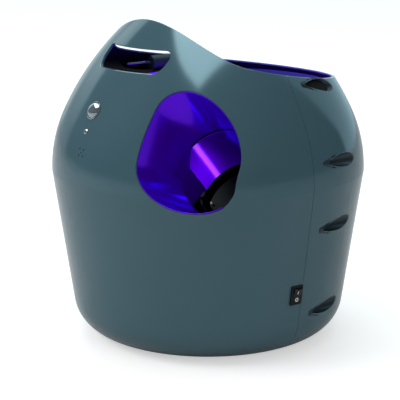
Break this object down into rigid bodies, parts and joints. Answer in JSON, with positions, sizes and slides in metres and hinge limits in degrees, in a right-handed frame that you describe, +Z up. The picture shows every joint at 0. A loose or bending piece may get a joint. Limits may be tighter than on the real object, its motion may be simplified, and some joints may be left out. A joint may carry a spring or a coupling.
{
  "type": "automatic dog ball launcher",
  "caption": "Egg-shaped automatic ball launcher for dogs: glossy two-half body, open hopper on top, tilting launch tube, carry slot, power rocker and two dials.",
  "frame": {"origin": "on the floor at the middle of the body", "axes": "+Z up, -Y the way the ball is thrown, +X towards the side with the power switch"},
  "size_m": [0.3404, 0.3404, 0.3473],
  "materials": {
    "shell": "glossy",
    "purple": "glossy",
    "black_plastic": "satin",
    "nylon": "satin",
    "board": "satin",
    "clear": "clear",
    "switch_black": "glossy",
    "base_plastic": "fine grain",
    "steel": "brushed",
    "motor_can": "satin",
    "cell_jacket": "glossy",
    "rubber": "matt",
    "brass": "satin",
    "wire": "matt",
    "dial": "satin"
  },
  "bodies": {
    "housing": {"front_shell": "shell", "rear_shell": "shell", "handle_grip": "shell", "hopper_bowl": "purple", "feed_chute": "black_plastic", "launch_throat": "purple", "trunnion_bracket": "black_plastic", "pivot_bush": "nylon", "lever_switch": "black_plastic", "control_board": "board", "sensor_lens": "clear", "sensor_board": "board", "status_light": "clear", "speaker": "black_plastic", "switch_bezel": "switch_black", "dc_jack": "black_plastic", "rear_panel": "shell", "distance_pot": "steel", "side_panel": "shell", "base_plate": "base_plastic", "battery_tray": "black_plastic", "batteries": "cell_jacket", "battery_contacts": "steel", "battery_door": "base_plastic", "door_screws": "steel", "rubber_feet": "rubber", "shell_screws": "steel", "base_screws": "steel", "wire_loom": "wire"},
    "cradle": {"launch_tube": "purple", "breech": "black_plastic", "striker_guide": "black_plastic", "guide_cap": "black_plastic", "launch_spring": "steel", "gear_axle": "steel", "drive_motor": "motor_can", "gear_frame": "black_plastic", "angle_quadrant": "nylon"},
    "striker_body": {"striker": "black_plastic", "striker_pad": "rubber"},
    "gear_body": {"cocking_gear": "nylon"},
    "pinion_body": {"motor_pinion": "brass"},
    "angle_dial_body": {"angle_dial": "dial"},
    "distance_dial_body": {"distance_dial": "dial"},
    "rocker_body": {"switch_rocker": "switch_black"},
    "lever_body": {"ball_lever": "nylon"}
  },
  "joints": [
    {"name": "launch_tilt", "type": "hinge", "parent": "housing", "child": "cradle", "pos_m": [0.11, -0.0546, 0.1834], "axis": [1, 0, 0], "range_deg": [0, 25]},
    {"name": "angle_dial_turn", "type": "hinge", "parent": "housing", "child": "angle_dial_body", "pos_m": [0, 0.05448, 0.17386], "axis": [-1, 0, 0], "range_deg": [0, 204]},
    {"name": "gear_turn", "type": "hinge", "parent": "cradle", "child": "gear_body", "pos_m": [0.11, -0.01992, 0.07673], "axis": [-1, 0, 0], "range_deg": [0, 181.5]},
    {"name": "striker_slide", "type": "slide", "parent": "cradle", "child": "striker_body", "axis": [0, 0.6428, -0.766], "range_m": [0, 0.0381], "deforming": ["launch_spring"]},
    {"name": "pinion_turn", "type": "hinge", "parent": "cradle", "child": "pinion_body", "pos_m": [0.11, -0.04868, 0.0984], "axis": [1, 0, 0], "range_deg": [0, 908]},
    {"name": "distance_dial_turn", "type": "hinge", "parent": "housing", "child": "distance_dial_body", "pos_m": [-0.035, 0.139, 0.12], "axis": [0, -1, 0], "range_deg": [0, 270]},
    {"name": "rocker_tip", "type": "hinge", "parent": "housing", "child": "rocker_body", "pos_m": [0.15312, -0.008, 0.07254], "axis": [0, 1, 0], "range_deg": [-14, 0]},
    {"name": "lever_swing", "type": "hinge", "parent": "housing", "child": "lever_body", "pos_m": [0.01781, -0.02262, 0.14432], "axis": [0.1455, 0.9894, 0], "range_deg": [0, 20], "stiffness_Nm_per_rad": 0.002, "springref_deg": -5.73}
  ],
  "couplings": [
    {"joint": "angle_dial_turn", "follows": "launch_tilt", "ratio": 8.125},
    {"joint": "striker_slide", "follows": "gear_turn", "m_per_rad": 0.012},
    {"joint": "pinion_turn", "follows": "gear_turn", "ratio": 5}
  ]
}
